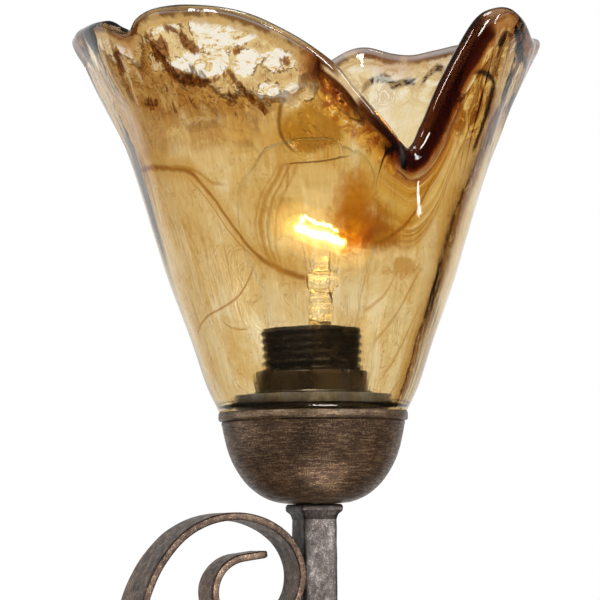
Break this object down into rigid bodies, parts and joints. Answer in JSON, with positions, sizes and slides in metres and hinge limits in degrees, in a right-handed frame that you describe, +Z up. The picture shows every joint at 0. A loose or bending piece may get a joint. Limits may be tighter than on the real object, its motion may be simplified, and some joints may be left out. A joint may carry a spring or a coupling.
{
  "type": "torch wall sconce",
  "caption": "Wall sconce with an upright flared blown-glass torch shade on a square post, a forged flat-bar C-scroll and a tubular arm from a round stepped wall plate.",
  "frame": {"origin": "centre of the outlet-box screw pattern, on the wall plane, at the back face of the crossbar", "axes": "+Z up, the wall is the plane Y = 0 and the room is on the -Y side, X runs along the wall"},
  "size_m": [0.1705, 0.2633, 0.3506],
  "materials": {
    "bronze": "hand-rubbed antique bronze paint, satin, brushed",
    "zinc_steel": "zinc-plated",
    "brass": "satin",
    "phenolic": "moulded, slightly dusty",
    "white_fibre": "pressed fibre",
    "black_rubber": "matte",
    "amber_glass": "hand-blown, clear gloss with amber streaks",
    "solder": "dull",
    "black_glass": "gloss",
    "nickel": "satin",
    "clear_glass": "clear gloss",
    "tungsten": "glowing",
    "lead_wire": "drawn wire",
    "black_insulation": "satin",
    "white_insulation": "satin",
    "green_insulation": "satin",
    "green_screw": "dyed",
    "orange_plastic": "moulded"
  },
  "bodies": {
    "root": {"wall_plate": "bronze", "crossbar": "zinc_steel", "mounting_studs": "zinc_steel", "stud_locknuts": "zinc_steel", "arm_flange": "bronze", "arm_nipple": "zinc_steel", "arm_locknut": "zinc_steel", "arm_tube": "bronze", "post": "bronze", "post_top_plug": "zinc_steel", "post_collar": "bronze", "scroll": "bronze", "finial": "bronze", "cup": "bronze", "riser_nipple": "zinc_steel", "lock_washer": "zinc_steel", "riser_nut": "brass", "holder_cap": "phenolic", "holder_body": "phenolic", "screw_shell": "brass", "center_contact": "brass", "contact_insulator": "white_fibre", "terminal_screws": "brass", "seat_plate": "zinc_steel", "glass_gasket": "black_rubber", "glass_shade": "amber_glass", "cushion_ring": "black_rubber", "wire_hot": "black_insulation", "wire_neutral": "white_insulation", "ground_wire": "green_insulation", "ground_screw": "green_screw", "wire_nuts": "orange_plastic"},
    "washer_left_body": {"trim_washer_left": "bronze"},
    "washer_right_body": {"trim_washer_right": "bronze"},
    "nut_left_body": {"cap_nut_left": "bronze"},
    "nut_right_body": {"cap_nut_right": "bronze"},
    "washer_body": {"shade_disc": "phenolic"},
    "ring_body": {"shade_ring": "phenolic"},
    "bulb_tip": {"bulb_contact": "solder"},
    "bulb_body": {"bulb_insulator": "black_glass", "bulb_base": "nickel", "bulb_glass": "clear_glass", "bulb_stem": "clear_glass", "filament": "tungsten", "filament_supports": "lead_wire"}
  },
  "joints": [
    {"name": "washer_rise", "type": "slide", "parent": "root", "child": "washer_body", "axis": [0, 0, 1], "range_m": [0, 0.0264]},
    {"name": "ring_turn", "type": "hinge", "parent": "washer_body", "child": "ring_body", "pos_m": [0, -0.17, 0.115], "axis": [0, 0, 1], "range_deg": [0, 3060]},
    {"name": "bulb_rise", "type": "slide", "parent": "root", "child": "bulb_tip", "axis": [0, 0, 1], "range_m": [0, 0.02545]},
    {"name": "bulb_turn", "type": "hinge", "parent": "bulb_tip", "child": "bulb_body", "pos_m": [0, -0.17, 0.115], "axis": [0, 0, 1], "range_deg": [0, 2520]},
    {"name": "washer_left_out", "type": "slide", "parent": "root", "child": "washer_left_body", "axis": [0, -1, 0], "range_m": [0, 0.00635]},
    {"name": "nut_left_turn", "type": "hinge", "parent": "washer_left_body", "child": "nut_left_body", "pos_m": [-0.052, -0.0142, 0], "axis": [0, -1, 0], "range_deg": [0, 2881]},
    {"name": "washer_right_out", "type": "slide", "parent": "root", "child": "washer_right_body", "axis": [0, -1, 0], "range_m": [0, 0.00635]},
    {"name": "nut_right_turn", "type": "hinge", "parent": "washer_right_body", "child": "nut_right_body", "pos_m": [0.052, -0.0142, 0], "axis": [0, -1, 0], "range_deg": [0, 2881]}
  ],
  "couplings": [
    {"joint": "washer_rise", "follows": "ring_turn", "m_per_rad": 0.00049338},
    {"joint": "bulb_rise", "follows": "bulb_turn", "m_per_rad": 0.00057757},
    {"joint": "nut_left_turn", "follows": "washer_left_out", "rad_per_m": 7915.8},
    {"joint": "nut_right_turn", "follows": "washer_right_out", "rad_per_m": 7915.8}
  ]
}
